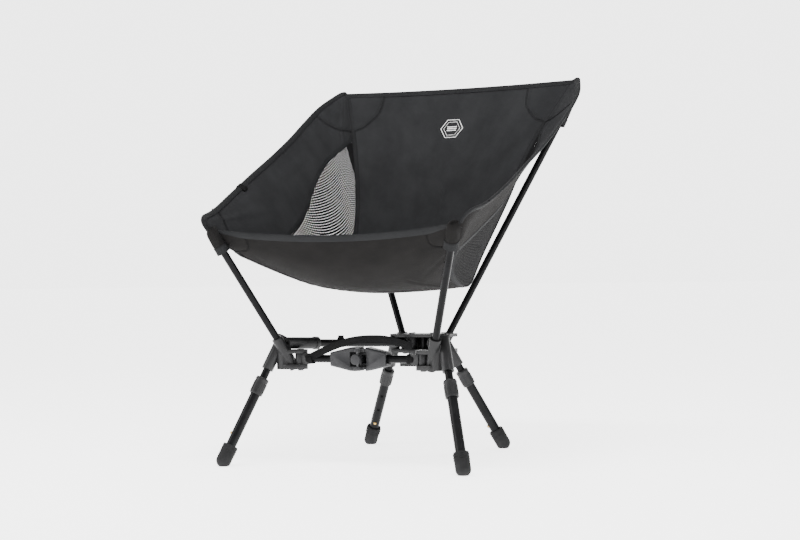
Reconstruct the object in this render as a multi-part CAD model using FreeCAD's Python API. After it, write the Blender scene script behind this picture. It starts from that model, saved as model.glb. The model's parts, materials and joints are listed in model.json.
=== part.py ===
import FreeCAD, Part
import math
import os

from FreeCAD import Vector

# A low folding camp chair: a sling seat on four poles, a folding base and four telescopic legs.
# Millimetres. -Y is the chair's front and +Z is up. Left and right in the names are as seen from
# the front, so right is +X.
# Lengthwise places are written from a datum near the rear hinge pins; DEPTH_OFFSET then puts the
# middle of the chair's depth on the origin.

# ---- driving dimensions ----
DEPTH_OFFSET = 107.95
POLE_RADIUS = 6.5
POLE_WALL = 0.9
LEG_RADIUS = 7.0            # upper, inner leg tube
LEG_WALL = 1.0
OUTER_LEG_RADIUS = 9.0      # lower, outer leg tube
SLIDE_GAP = 0.2             # between the two leg tubes
BAR_RADIUS = 7.0            # side arms and front bar
BAR_WALL = 1.2
PIN_RADIUS = 3.0
PIN_GAP = 0.05
FIT_GAP = 0.4               # between plastic parts that turn past each other
PANEL_THICKNESS = 3.0

# Axes on the +X side, each from its lower to its upper point. The -X side is their mirror image.
FRONT_LEG = (Vector(232.5, -372.5, 0), Vector(181.4, -306.2, 152.6))
REAR_LEG = (Vector(144.0, 57.3, 0), Vector(75.8, 3.8, 150.7))
FRONT_POLE = (Vector(153.2, -299.9, 220.8), Vector(217.2, -378.5, 380.0))
REAR_POLE = (Vector(49.1, 11.3, 220.8), Vector(246.1, 160.1, 660.0))
REAR_PIN = Vector(22.0, -6.0, 203.0)
ARM_FRONT = Vector(140.0, -277.0, 214.5)
BAR_PIVOT = Vector(120.0, -277.0, 187.0)
CENTRE_PIN = Vector(0.0, -291.0, 187.0)

# Legs, as distances along the leg axis from the ground
HOLE_SPACING = 31.5
HOLE_RADIUS = 2.8
BUTTON_RADIUS = 2.5
BUTTON_PROUD = 2.5
LEG_LIFT_HOLES = 2
FOOT_LENGTH = 41.0
COLLAR_LENGTH = 32.0
LEG_SETS = {
    "front_left": {"axis": FRONT_LEG, "side": -1, "button_at": 62.0, "faces": Vector(-0.93, -0.36, 0)},
    "front_right": {"axis": FRONT_LEG, "side": 1, "button_at": 62.0, "faces": Vector(0.20, 0.98, 0)},
    "rear_left": {"axis": REAR_LEG, "side": -1, "button_at": 54.0, "faces": Vector(0.41, -0.91, 0)},
    "rear_right": {"axis": REAR_LEG, "side": 1, "button_at": 54.0, "faces": Vector(-0.80, -0.60, 0)},
}

# Centre joint of the front bar
JOINT_HALF_LENGTH = 53.8
JOINT_HALF_DEPTH = 14.0
JOINT_HALF_HEIGHT = 21.0
JOINT_END_HALF_HEIGHT = 12.2
JOINT_SHOULDER = 15.0       # from the middle to where the taper starts
BARREL_RADIUS = 7.5
BARREL_HALF_HEIGHT = 8.0
SLOT_HALF_WIDTH = 11.0      # room for the bar tube to swing inside the housing
SLOT_HALF_HEIGHT = 7.6
SLOT_START = 5.5
BAR_TUBE_END = 35.0         # the bar tube's inner end, from the middle
LOCK_RADIUS = 9.4
KNOB_BACK = 5.6             # the button's back face, in front of the centre pin's axis
KNOB_ROOM_DEPTH = 1.6       # the barrel and ears are cut back to here behind the button
POST_RADIUS = 1.6           # the button's two guide posts, beside the centre pin
POST_OFFSET = 5.2
EAR_LOW = 13.2              # where the left half's ears start, above and below the middle
EAR_REACH = 13.5            # how far they reach over the right half
RECESS_RIGHT = 17.0
LOCK_TRAVEL = 2.5
LOCK_SWEEP_RADIUS = 15.0    # room for the push button to pass the left half as the joint folds

# Sling seat: each station is (rim x, y, z, side seam x, y, z, middle y, z), from the front edge to the top edge
STATIONS = (
    (246, -394, 438, 231, -389, 433, -371, 405),
    (264, -335, 454, 206, -343, 389, -350, 351),
    (273, -250, 489, 176, -272, 346, -288, 314),
    (277, -165, 528, 151, -190, 322, -205, 304),
    (280, -80, 566, 137, -102, 314, -112, 305),
    (281, 0, 606, 138, -34, 370, -26, 352),
    (282, 70, 645, 158, 40, 464, 50, 446),
    (277, 130, 680, 190, 100, 576, 114, 570),
    (243, 192, 710, 239, 184, 705, 182, 703),
)
SEAM_AT = 0.55              # share of the way from the seat's middle to its rim
SIDE_HOLLOW = 17.0          # how far tension pulls the middle of a side panel in
HOLLOW_DIRECTION = Vector(-0.7, -0.2, 0.7)
BASE_ENDS_AT = 0.56         # share of the way from the front edge to the top edge
PANEL_ROWS = 6

POCKET_RADIUS = 10.0
POCKET_BORE = 8.4
TIP_RADIUS = 8.2

Z_AXIS = Vector(0, 0, 1)


# ---- geometry helpers ----
def mirrored(point, side):
    return Vector(point.x * side, point.y, point.z)


def along(axis, distance):
    low, high = axis
    return low + (high - low).normalize() * distance


def at_height(axis, z):
    low, high = axis
    return low + (high - low) * ((z - low.z) / (high.z - low.z))


def side_axis(axis, side):
    return mirrored(axis[0], side), mirrored(axis[1], side)


def rod(start, end, radius):
    return Part.makeCylinder(radius, (end - start).Length, start, end - start)


def tube(start, end, radius, wall):
    return rod(start, end, radius).cut(rod(start, end, radius - wall))


def upright(centre, radius, low, high):
    return rod(Vector(centre.x, centre.y, low), Vector(centre.x, centre.y, high), radius)


def stadium(first, second, radius_first, radius_second, low, high):
    """A plate with two round ends, standing from low to high."""
    gap = Vector(second.x - first.x, second.y - first.y, 0)
    lean = math.acos((radius_first - radius_second) / gap.Length)
    heading = math.atan2(gap.y, gap.x)
    corners = []
    for centre, radius, turn in (
        (first, radius_first, lean),
        (second, radius_second, lean),
        (second, radius_second, -lean),
        (first, radius_first, -lean),
    ):
        angle = heading + turn
        corners.append(Vector(centre.x + radius * math.cos(angle), centre.y + radius * math.sin(angle), low))
    web = Part.Face(Part.makePolygon(corners + corners[:1])).extrude(Vector(0, 0, high - low))
    return web.fuse([upright(first, radius_first, low, high), upright(second, radius_second, low, high)])


def rounded_plate(x0, x1, y0, y1, low, high, corner):
    plate = Part.makeBox(x1 - x0, y1 - y0, high - low, Vector(x0, y0, low))
    edges = [e for e in plate.Edges if abs(e.Vertexes[0].Z - e.Vertexes[-1].Z) > 1e-6]
    return plate.makeFillet(corner, edges)


def turned(profile, base, direction):
    """A solid of revolution: profile is (radius, distance along direction) pairs round a closed outline."""
    points = [Vector(r, 0, s) for r, s in profile]
    face = Part.Face(Part.makePolygon(points + points[:1]))
    solid = face.revolve(Vector(0, 0, 0), Z_AXIS, 360)
    solid.Placement = FreeCAD.Placement(base, FreeCAD.Rotation(Z_AXIS, direction))
    return solid


def across(axis, faces):
    """The unit vector square to an axis that points nearest to faces."""
    unit = (axis[1] - axis[0]).normalize()
    return (faces - unit * faces.dot(unit)).normalize()


def faceted_solid(front, back):
    """A closed slab between two grids of points."""
    rows, cols = len(front), len(front[0])
    faces = []

    def triangle(a, b, c):
        faces.append(Part.Face(Part.makePolygon([a, b, c, a])))

    def quad(a, b, c, d):
        triangle(a, b, c)
        triangle(a, c, d)

    for i in range(rows - 1):
        for j in range(cols - 1):
            quad(front[i][j], front[i][j + 1], front[i + 1][j + 1], front[i + 1][j])
            quad(back[i][j], back[i + 1][j], back[i + 1][j + 1], back[i][j + 1])
    for i in range(rows - 1):
        quad(front[i][0], front[i + 1][0], back[i + 1][0], back[i][0])
        quad(front[i][-1], back[i][-1], back[i + 1][-1], front[i + 1][-1])
    for j in range(cols - 1):
        quad(front[0][j], back[0][j], back[0][j + 1], front[0][j + 1])
        quad(front[-1][j], front[-1][j + 1], back[-1][j + 1], back[-1][j])
    solid = Part.Solid(Part.makeShell(faces))
    if solid.Volume < 0:
        solid.reverse()
    return solid


# ---- sling seat ----
def station(u):
    """The seat's measures at a share u of the way from the front edge to the top edge."""
    place = u * (len(STATIONS) - 1)
    index = min(int(place), len(STATIONS) - 2)
    t = place - index
    before = STATIONS[max(index - 1, 0)]
    low, high = STATIONS[index], STATIONS[index + 1]
    after = STATIONS[min(index + 2, len(STATIONS) - 1)]
    smooth = []
    for p0, p1, p2, p3 in zip(before, low, high, after):
        slope_low, slope_high = (p2 - p0) / 2, (p3 - p1) / 2
        smooth.append(
            (2 * t**3 - 3 * t**2 + 1) * p1 + (t**3 - 2 * t**2 + t) * slope_low
            + (3 * t**2 - 2 * t**3) * p2 + (t**3 - t**2) * slope_high
        )
    return smooth


def seat_point(u, v):
    """A point of the sling: v is 0 in the middle, SEAM_AT at the side seam and 1 at the +X rim."""
    rim_x, rim_y, rim_z, seam_x, seam_y, seam_z, mid_y, mid_z = station(u)
    rim, seam = Vector(rim_x, rim_y, rim_z), Vector(seam_x, seam_y, seam_z)
    if v <= SEAM_AT:
        k = v / SEAM_AT
        return Vector(seam_x * k, mid_y + (seam_y - mid_y) * k * k, mid_z + (seam_z - mid_z) * k * k)
    t = (v - SEAM_AT) / (1 - SEAM_AT)
    hollow = SIDE_HOLLOW * math.sin(math.pi * u) * 4 * t * (1 - t)
    return seam + (rim - seam) * t + HOLLOW_DIRECTION * hollow


def seat_normal(u, v):
    """The outward normal, away from the sitter."""
    step = 0.01
    u0, u1 = max(u - step, 0), min(u + step, 1)
    v0, v1 = max(v - step, 0), min(v + step, 1)
    down = seat_point(u1, v) - seat_point(u0, v)
    out = seat_point(u, v1) - seat_point(u, v0)
    return down.cross(out).normalize()


def seat_rows(*edges):
    """Rows of the sling between these shares of its length, PANEL_ROWS to each panel."""
    rows = [edges[0]]
    for low, high in zip(edges, edges[1:]):
        rows += [low + (high - low) * (i + 1) / PANEL_ROWS for i in range(PANEL_ROWS)]
    return rows


def seat_panel(rows, v_range, cols):
    """A panel of the sling on the +X side or across the middle, where v may be negative."""
    inner, outer = [], []
    for u in rows:
        inner_row, outer_row = [], []
        for j in range(cols + 1):
            v = v_range[0] + (v_range[1] - v_range[0]) * j / cols
            side = -1 if v < 0 else 1
            point = seat_point(u, abs(v))
            normal = seat_normal(u, abs(v))
            inner_row.append(mirrored(point, side))
            outer_row.append(mirrored(point + normal * PANEL_THICKNESS, side))
        inner.append(inner_row)
        outer.append(outer_row)
    return faceted_solid(inner, outer)


def pole_pocket(axis, z_low, z_high):
    """The sewn pocket that holds a pole's tip, closed at its top."""
    low, high = at_height(axis, z_low), at_height(axis, z_high)
    unit = (high - low).normalize()
    shell = rod(low, high, POCKET_RADIUS)
    return shell.cut(rod(low - unit, high - unit * 4, POCKET_BORE))


def pole_tip(axis, z_low, z_high):
    """The moulded cap pushed over a pole's end."""
    low, high = at_height(axis, z_low), at_height(axis, z_high)
    unit = (high - low).normalize()
    length = (high - low).Length
    profile = (
        (0, length), (TIP_RADIUS - 3, length), (TIP_RADIUS - 0.6, length - 3),
        (TIP_RADIUS - 0.6, 0), (POLE_RADIUS, 0), (POLE_RADIUS, length - 6), (0, length - 6),
    )
    return turned(profile, low, unit)


# ---- rear bracket ----
BRACKET_HALF_WIDTH = 62.0
BRACKET_FRONT = -24.0
BRACKET_BACK = 27.0
COVER_LOW, COVER_HIGH = 214.4, 220.4
SHELF_LOW, SHELF_HIGH = 184.5, 191.6
KNUCKLE_RADIUS = 10.0
POLE_FOOT = 199.0
COVER_SCREW = Vector(30, 23.5, 0)


def sleeve(axis, z_low, z_high, radius):
    return rod(at_height(axis, z_low), at_height(axis, z_high), radius)


def rear_bracket():
    shelf = rounded_plate(
        -BRACKET_HALF_WIDTH, BRACKET_HALF_WIDTH, BRACKET_FRONT, BRACKET_BACK, SHELF_LOW, SHELF_HIGH, 8
    )
    wall = Part.makeBox(84, 5, COVER_LOW - SHELF_LOW, Vector(-42, BRACKET_BACK - 6, SHELF_LOW))
    rib = Part.makeBox(5, 26, COVER_LOW - SHELF_LOW, Vector(-2.5, BRACKET_BACK - 31, SHELF_LOW))
    keel = rounded_plate(-46, 46, -14, 14, 158, 164, 6)
    keel_web = Part.makeBox(64, 6, SHELF_LOW - 160, Vector(-32, 1, 160))
    solids = [wall, rib, keel, keel_web]
    bores = []
    for side in (-1, 1):
        leg, pole = side_axis(REAR_LEG, side), side_axis(REAR_POLE, side)
        solids.append(sleeve(leg, 161, 213, 10.6))
        solids.append(sleeve(pole, 186, 223, 9.8))
        bores.append(sleeve(leg, 150, 210, LEG_RADIUS))
        bores.append(sleeve(pole, POLE_FOOT, 240, POLE_RADIUS))
        pin = mirrored(REAR_PIN, side)
        bores.append(upright(pin, PIN_RADIUS, SHELF_LOW - 3, COVER_LOW))
        bores.append(upright(pin, 5.0, SHELF_LOW - 10, SHELF_LOW))
        bores.append(upright(mirrored(COVER_SCREW, side), 1.6, COVER_LOW - 11, COVER_LOW))
        bores.append(upright(pin, KNUCKLE_RADIUS + FIT_GAP, SHELF_HIGH, COVER_LOW))
    body = shelf.fuse(solids)
    return body.cut(bores + [Part.makeBox(200, 200, 20, Vector(-100, -100, 223))]).removeSplitter()


def rear_cover():
    """The flat lid over the arm hinges, notched round the pole sleeves."""
    lid = rounded_plate(
        -BRACKET_HALF_WIDTH, BRACKET_HALF_WIDTH, BRACKET_FRONT, BRACKET_BACK, COVER_LOW, COVER_HIGH, 8
    )
    cuts = []
    for side in (-1, 1):
        cuts.append(sleeve(side_axis(REAR_POLE, side), 200, 240, 9.8))
        cuts.append(sleeve(side_axis(REAR_LEG, side), 200, 216, 10.8))
        cuts.append(upright(mirrored(REAR_PIN, side), PIN_RADIUS, COVER_LOW, COVER_HIGH))
        cuts.append(upright(mirrored(COVER_SCREW, side), 1.6, COVER_LOW, COVER_HIGH))
        for column in range(2):
            x = side * (8 + 14 * column)
            window = Part.makeBox(9, 6, COVER_HIGH - COVER_LOW, Vector(x - 4.5, 10, COVER_LOW))
            cuts.append(window)
    return lid.cut(cuts)


def arm_hinge_pins():
    solids = []
    for side in (-1, 1):
        pin = mirrored(REAR_PIN, side)
        solids.append(
            upright(pin, PIN_RADIUS, SHELF_LOW - 2, COVER_HIGH)
            .fuse([upright(pin, 5.0, COVER_HIGH, COVER_HIGH + 2.4), upright(pin, 5.0, SHELF_LOW - 4, SHELF_LOW)])
        )
    return Part.makeCompound(solids)


def cover_screws():
    solids = []
    for side in (-1, 1):
        place = mirrored(COVER_SCREW, side)
        head = upright(place, 2.9, COVER_HIGH, COVER_HIGH + 1.8)
        socket = upright(place, 1.4, COVER_HIGH + 0.7, COVER_HIGH + 1.8)
        solids.append(upright(place, 1.6, COVER_LOW - 11, COVER_HIGH).fuse(head).cut(socket))
    return Part.makeCompound(solids)


# ---- side arms and front hubs ----
ARM_SOCKET_LENGTH = 62.0
HUB_PLATE_RADIUS = 13.0
HUB_TOP_LOW, HUB_TOP_HIGH = 196.4, 203.0
HUB_FLOOR_LOW, HUB_FLOOR_HIGH = 168.0, 176.8
HUB_CAP_SEAT = 223.0


def arm_axis(side):
    return mirrored(REAR_PIN, side), mirrored(ARM_FRONT, side)


def arm_tube(side):
    start, end = arm_axis(side)
    unit = (end - start).normalize()
    return tube(start + unit * 16, end, BAR_RADIUS, BAR_WALL)


def arm_eye(side):
    """The knuckle on the rear pin, with its spigot pushed into the arm tube."""
    start, end = arm_axis(side)
    unit = (end - start).normalize()
    knuckle = upright(start, KNUCKLE_RADIUS, SHELF_HIGH + FIT_GAP, COVER_LOW - FIT_GAP)
    neck = rod(start, start + unit * 16, BAR_RADIUS + 1.2)
    spigot = rod(start + unit * 16, start + unit * 34, BAR_RADIUS - BAR_WALL)
    slab = Part.makeBox(80, 80, COVER_LOW - SHELF_HIGH - 2 * FIT_GAP, Vector(start.x - 40, start.y - 40, SHELF_HIGH + FIT_GAP))
    body = knuckle.fuse([neck, spigot]).common(slab)
    return body.cut(upright(start, PIN_RADIUS + PIN_GAP, SHELF_LOW, COVER_HIGH))


def hub(side):
    """The moulding that joins a side arm, a front pole, a front leg and the front bar's pivot."""
    start, end = arm_axis(side)
    unit = (end - start).normalize()
    leg, pole = side_axis(FRONT_LEG, side), side_axis(FRONT_POLE, side)
    pivot = mirrored(BAR_PIVOT, side)
    outer = mirrored(Vector(141, -282, 0), side)
    floor = stadium(pivot, outer, HUB_PLATE_RADIUS, 15, HUB_FLOOR_LOW, HUB_FLOOR_HIGH)
    top = stadium(pivot, outer, HUB_PLATE_RADIUS, 15, HUB_TOP_LOW, HUB_TOP_HIGH)
    core = upright(mirrored(Vector(150, -284, 0), side), 13, HUB_FLOOR_LOW, 212)
    arm_socket = rod(end + unit * 9, end - unit * ARM_SOCKET_LENGTH, 10.6)
    ring = rod(end - unit * (ARM_SOCKET_LENGTH - 8), end - unit * ARM_SOCKET_LENGTH, 11.8)
    body = floor.fuse(
        [top, core, arm_socket, ring, sleeve(leg, 168, HUB_CAP_SEAT, 10.4), sleeve(pole, 170, 224, 9.8)]
    )
    sweep = upright(pivot, HUB_PLATE_RADIUS, HUB_FLOOR_HIGH, HUB_TOP_LOW)
    bores = [
        sweep,
        rod(end, end - unit * 100, BAR_RADIUS),
        sleeve(leg, 150, 219, LEG_RADIUS),
        sleeve(pole, 181, 240, POLE_RADIUS),
        upright(pivot, PIN_RADIUS, HUB_FLOOR_LOW - 3, HUB_TOP_HIGH + 3),
        leg_cap(FRONT_LEG, HUB_CAP_SEAT, side),
    ]
    return body.cut(bores)


def hub_bolt(side):
    pivot = mirrored(BAR_PIVOT, side)
    shank = upright(pivot, PIN_RADIUS, HUB_FLOOR_LOW, HUB_TOP_HIGH)
    base = upright(pivot, 5.2, HUB_FLOOR_LOW - 2.6, HUB_FLOOR_LOW)
    head = upright(pivot, 4.6, HUB_TOP_HIGH, HUB_TOP_HIGH + 1.0)
    return shank.fuse([base, head])


def leg_cap(axis, z_low, side):
    """The ribbed disc that closes the top of a front leg's sleeve."""
    low = at_height(side_axis(axis, side), z_low)
    unit = (side_axis(axis, side)[1] - side_axis(axis, side)[0]).normalize()
    return turned(((0, 0), (11.2, 0), (11.2, 2.8), (9.8, 4.6), (0, 4.6)), low, unit)


# ---- front bar and its centre joint ----
def bar_tube(side):
    pivot = mirrored(BAR_PIVOT, side)
    return tube(
        Vector(side * BAR_TUBE_END, pivot.y, pivot.z), Vector(side * 108.5, pivot.y, pivot.z), BAR_RADIUS, BAR_WALL
    )


def bar_eye(side):
    """The fitting that hinges a bar tube in its hub."""
    pivot = mirrored(BAR_PIVOT, side)
    low, high = HUB_FLOOR_HIGH + FIT_GAP, HUB_TOP_LOW - FIT_GAP
    ring = upright(pivot, 9.6, low, high)
    inner, outer = sorted((side * 100.0, side * 114.0))
    block = Part.makeBox(outer - inner, 19, high - low, Vector(inner, pivot.y - 9.5, low))
    bore = rod(Vector(side * 99.0, pivot.y, pivot.z), Vector(side * 108.5, pivot.y, pivot.z), BAR_RADIUS)
    return block.fuse(ring).cut([bore, upright(pivot, PIN_RADIUS + PIN_GAP, 150, 220)]).removeSplitter()


def centre_housing(side):
    """Half of the folding joint: a hollow tapered box, hinged on a pin at its front face."""
    z = CENTRE_PIN.z
    outline = (
        (0.2, -JOINT_HALF_HEIGHT), (JOINT_SHOULDER, -JOINT_HALF_HEIGHT),
        (JOINT_HALF_LENGTH, -JOINT_END_HALF_HEIGHT), (JOINT_HALF_LENGTH, JOINT_END_HALF_HEIGHT),
        (JOINT_SHOULDER, JOINT_HALF_HEIGHT), (0.2, JOINT_HALF_HEIGHT),
    )
    front = BAR_PIVOT.y - JOINT_HALF_DEPTH
    points = [Vector(x, front, z + height) for x, height in outline]
    box = Part.Face(Part.makePolygon(points + points[:1])).extrude(Vector(0, 2 * JOINT_HALF_DEPTH, 0))
    long_edges = [
        e for e in box.Edges
        if abs(e.Vertexes[0].Y - e.Vertexes[-1].Y) < 1e-6 and min(v.X for v in e.Vertexes) > 1
        and abs(e.Vertexes[0].X - e.Vertexes[-1].X) > 1e-6
    ]
    box = box.makeChamfer(2.4, long_edges)
    slot = Part.makeBox(
        80, 2 * SLOT_HALF_WIDTH, 2 * SLOT_HALF_HEIGHT,
        Vector(SLOT_START, BAR_PIVOT.y - SLOT_HALF_WIDTH, z - SLOT_HALF_HEIGHT),
    )
    front_face = CENTRE_PIN.y
    head_seat = JOINT_HALF_HEIGHT - 3
    bores = [
        slot,
        upright(CENTRE_PIN, 4.2 + FIT_GAP, z + head_seat, z + 30),
        upright(CENTRE_PIN, 4.2 + FIT_GAP, z - 30, z - head_seat),
    ]
    knob_room = rod(Vector(0, front_face - 20, z), Vector(0, front_face - KNOB_ROOM_DEPTH, z), LOCK_RADIUS + 0.5)
    if side < 0:
        # two ears reach over the middle; between them the front is open for the other half's barrel
        ears = []
        for low in (EAR_LOW, -head_seat):
            high = low + head_seat - EAR_LOW
            ears.append(upright(CENTRE_PIN, BARREL_RADIUS, z + low, z + high))
            ears.append(Part.makeBox(EAR_REACH + 6, 2 * JOINT_HALF_DEPTH, high - low, Vector(-EAR_REACH, front, z + low)))
        sweep = upright(CENTRE_PIN, LOCK_SWEEP_RADIUS, z - EAR_LOW + FIT_GAP / 2, z + EAR_LOW - FIT_GAP / 2)
        body = box.fuse(ears).cut([*bores, sweep, knob_room])
        body = body.mirror(Vector(0, 0, 0), Vector(1, 0, 0))
    else:
        clear = EAR_LOW - FIT_GAP / 2
        over = Part.makeBox(EAR_REACH + 21.5, 60, 20, Vector(-20, front - 20, z + clear))
        under = Part.makeBox(EAR_REACH + 21.5, 60, 20, Vector(-20, front - 20, z - clear - 20))
        opening = Part.makeBox(RECESS_RIGHT + 20, 7, 2 * clear, Vector(-20, front, z - clear))
        body = box.cut([over, under, opening])
        barrel = upright(CENTRE_PIN, BARREL_RADIUS, z - BARREL_HALF_HEIGHT, z + BARREL_HALF_HEIGHT)
        neck = Part.makeBox(SLOT_START - 0.2, 12, 2 * BARREL_HALF_HEIGHT, Vector(0.2, front, z - BARREL_HALF_HEIGHT))
        body = body.fuse([barrel, neck]).cut([*bores, knob_room])
    body = body.cut(upright(CENTRE_PIN, 2.5 + PIN_GAP, z - 30, z + 30))
    if side > 0:
        body = body.cut([
            rod(Vector(x, front_face - 10, z), Vector(x, front_face + 4.2, z), POST_RADIUS + 0.2) for x in (-POST_OFFSET, POST_OFFSET)
        ])
    return body.removeSplitter()


def centre_pin():
    z = CENTRE_PIN.z
    tip = JOINT_HALF_HEIGHT - 3
    shank = upright(CENTRE_PIN, 2.5, z - tip, z + tip)
    return shank.fuse([upright(CENTRE_PIN, 4.2, z + tip, z + tip + 2.2), upright(CENTRE_PIN, 4.2, z - tip - 2.2, z - tip)])


def lock_button():
    """The round push button in front of the centre pin."""
    back = CENTRE_PIN.y - KNOB_BACK
    profile = (
        (0, 0), (LOCK_RADIUS - 0.6, 0), (LOCK_RADIUS, 0.6), (LOCK_RADIUS, 4.4), (LOCK_RADIUS - 1.0, 5.4), (0, 5.8),
    )
    knob = turned(profile, Vector(0, back, CENTRE_PIN.z), Vector(0, -1, 0))
    return knob.fuse([
        rod(Vector(x, back - 0.5, CENTRE_PIN.z), Vector(x, CENTRE_PIN.y + 1, CENTRE_PIN.z), POST_RADIUS)
        for x in (-POST_OFFSET, POST_OFFSET)
    ])


# ---- legs ----
def leg_parts(spec):
    axis = side_axis(spec["axis"], spec["side"])
    faces = across(axis, spec["faces"])
    unit = (axis[1] - axis[0]).normalize()
    top = (axis[1] - axis[0]).Length
    tube_end = top - 4
    outer = rod(along(axis, 22), along(axis, tube_end), OUTER_LEG_RADIUS)
    outer = outer.cut(rod(along(axis, 20), along(axis, tube_end), LEG_RADIUS + SLIDE_GAP))
    holes = []
    for step in range(LEG_LIFT_HOLES + 1):
        centre = along(axis, spec["button_at"] + step * HOLE_SPACING)
        holes.append(rod(centre, centre + faces * 12, HOLE_RADIUS))
    outer = outer.cut(holes)

    collar = turned(
        (
            (OUTER_LEG_RADIUS, 0), (11.0, 0), (11.6, 2), (11.6, COLLAR_LENGTH - 6), (12.2, COLLAR_LENGTH - 4),
            (11.2, COLLAR_LENGTH), (LEG_RADIUS + SLIDE_GAP, COLLAR_LENGTH),
            (LEG_RADIUS + SLIDE_GAP, COLLAR_LENGTH - 4), (OUTER_LEG_RADIUS, COLLAR_LENGTH - 4),
        ),
        along(axis, top - COLLAR_LENGTH), unit,
    )

    ball, ball_centre = 14.0, 12.0
    foot = rod(along(axis, ball_centre), along(axis, FOOT_LENGTH), 13.6)
    foot = foot.fuse(Part.makeSphere(13.6, along(axis, ball_centre)))
    prism_points = [
        along(axis, -20) + (faces * math.cos(a) + unit.cross(faces) * math.sin(a)) * ball
        for a in (math.radians(22.5 + 45 * k) for k in range(8))
    ]
    prism = Part.Face(Part.makePolygon(prism_points + prism_points[:1])).extrude(unit * 80)
    ground = Part.makeBox(200, 200, 60, Vector(axis[0].x - 100, axis[0].y - 100, -60))
    foot = foot.common(prism).cut([ground, rod(along(axis, 22), along(axis, 60), OUTER_LEG_RADIUS)])

    button_centre = along(axis, spec["button_at"])
    inner_end = LEG_RADIUS + 0.3
    button = turned(
        (
            (0, 0), (BUTTON_RADIUS, 0), (BUTTON_RADIUS, OUTER_LEG_RADIUS + BUTTON_PROUD - inner_end - 0.8),
            (BUTTON_RADIUS - 0.8, OUTER_LEG_RADIUS + BUTTON_PROUD - inner_end),
            (0, OUTER_LEG_RADIUS + BUTTON_PROUD - inner_end),
        ),
        button_centre + faces * inner_end, faces,
    )

    top_height = 219 if spec["axis"] is FRONT_LEG else 210
    inner_tube = tube(along(axis, 36), at_height(axis, top_height), LEG_RADIUS, LEG_WALL)
    inner_tube = inner_tube.cut(rod(button_centre, button_centre + faces * 12, HOLE_RADIUS))
    return {"outer": outer, "collar": collar, "foot": foot, "button": button, "inner": inner_tube}


# ---- pull strap ----
STRAP_ROUTE = ((-104, 186), (-88, 196), (-66, 208), (-43, 219), (-20, 226), (15, 228), (45, 224), (75, 215), (104, 203))
STRAP_WIDTH = 11.0
STRAP_THICKNESS = 1.6


def pull_strap():
    """A strip of webbing standing on edge in front of the side arms, bowed up over the centre joint."""
    upper, lower = [], []
    for index, (x, z) in enumerate(STRAP_ROUTE):
        before, after = STRAP_ROUTE[max(index - 1, 0)], STRAP_ROUTE[min(index + 1, len(STRAP_ROUTE) - 1)]
        run = Vector(after[0] - before[0], 0, after[1] - before[1]).normalize()
        rise = Vector(-run.z, 0, run.x) * (STRAP_WIDTH / 2)
        centre = Vector(x, BAR_PIVOT.y - 11.5, z)
        upper.append(centre + rise)
        lower.append(centre - rise)
    outline = upper + lower[::-1]
    return Part.Face(Part.makePolygon(outline + outline[:1])).extrude(Vector(0, STRAP_THICKNESS, 0))


# ---- assembly ----
def build():
    nodes = {
        "rear_bracket": rear_bracket(),
        "rear_cover": rear_cover(),
        "arm_hinge_pins": arm_hinge_pins(),
        "cover_screws": cover_screws(),
        "centre_pin": centre_pin(),
        "lock_button": lock_button(),
        "pull_strap": pull_strap(),
        "seat_base": seat_panel(seat_rows(0, BASE_ENDS_AT), (-SEAM_AT, SEAM_AT), 6),
        "seat_back": seat_panel(seat_rows(BASE_ENDS_AT, 1), (-SEAM_AT, SEAM_AT), 6),
    }
    side_panel = seat_panel(seat_rows(0, BASE_ENDS_AT, 1), (SEAM_AT, 1), 3)
    nodes["seat_side_right"] = side_panel
    nodes["seat_side_left"] = side_panel.mirror(Vector(0, 0, 0), Vector(1, 0, 0))
    for side, word in ((-1, "left"), (1, "right")):
        rear_pole, front_pole = side_axis(REAR_POLE, side), side_axis(FRONT_POLE, side)
        nodes[f"rear_pole_{word}"] = tube(at_height(rear_pole, POLE_FOOT), at_height(rear_pole, 655), POLE_RADIUS, POLE_WALL)
        nodes[f"front_pole_{word}"] = tube(at_height(front_pole, 181), at_height(front_pole, 411), POLE_RADIUS, POLE_WALL)
        nodes[f"rear_pole_tip_{word}"] = pole_tip(rear_pole, 642, 662)
        nodes[f"front_pole_tip_{word}"] = pole_tip(front_pole, 398, 418)
        nodes[f"rear_pocket_{word}"] = pole_pocket(rear_pole, 622, 667)
        nodes[f"front_pocket_{word}"] = pole_pocket(front_pole, 382, 423)
        nodes[f"arm_tube_{word}"] = arm_tube(side)
        nodes[f"arm_eye_{word}"] = arm_eye(side)
        nodes[f"hub_{word}"] = hub(side)
        nodes[f"hub_bolt_{word}"] = hub_bolt(side)
        nodes[f"hub_cap_{word}"] = leg_cap(FRONT_LEG, HUB_CAP_SEAT, side)
        nodes[f"bar_tube_{word}"] = bar_tube(side)
        nodes[f"bar_eye_{word}"] = bar_eye(side)
        nodes[f"housing_{word}"] = centre_housing(side)
    for corner, spec in LEG_SETS.items():
        parts = leg_parts(spec)
        nodes[f"leg_outer_{corner}"] = parts["outer"]
        nodes[f"leg_collar_{corner}"] = parts["collar"]
        nodes[f"foot_{corner}"] = parts["foot"]
        nodes[f"leg_button_{corner}"] = parts["button"]
        nodes[f"leg_inner_{corner}"] = parts["inner"]
    return nodes


def main():
    os.makedirs("parts", exist_ok=True)
    box = FreeCAD.BoundBox()
    for name, shape in build().items():
        shape.translate(Vector(0, DEPTH_OFFSET, 0))
        box.add(shape.BoundBox)
        if not shape.isValid():
            print("not valid:", name)
        if len(shape.Solids) != 1 and name not in ("arm_hinge_pins", "cover_screws"):
            print("solids in", name, len(shape.Solids))
        shape.exportStep(os.path.join("parts", f"{name}.step"))
    print("box", [round(v, 2) for v in (box.XMin, box.XMax, box.YMin, box.YMax, box.ZMin, box.ZMax)])


main()
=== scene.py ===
import json
import math

import bmesh
import bpy
import numpy as np
from mathutils import Matrix, Vector

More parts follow.
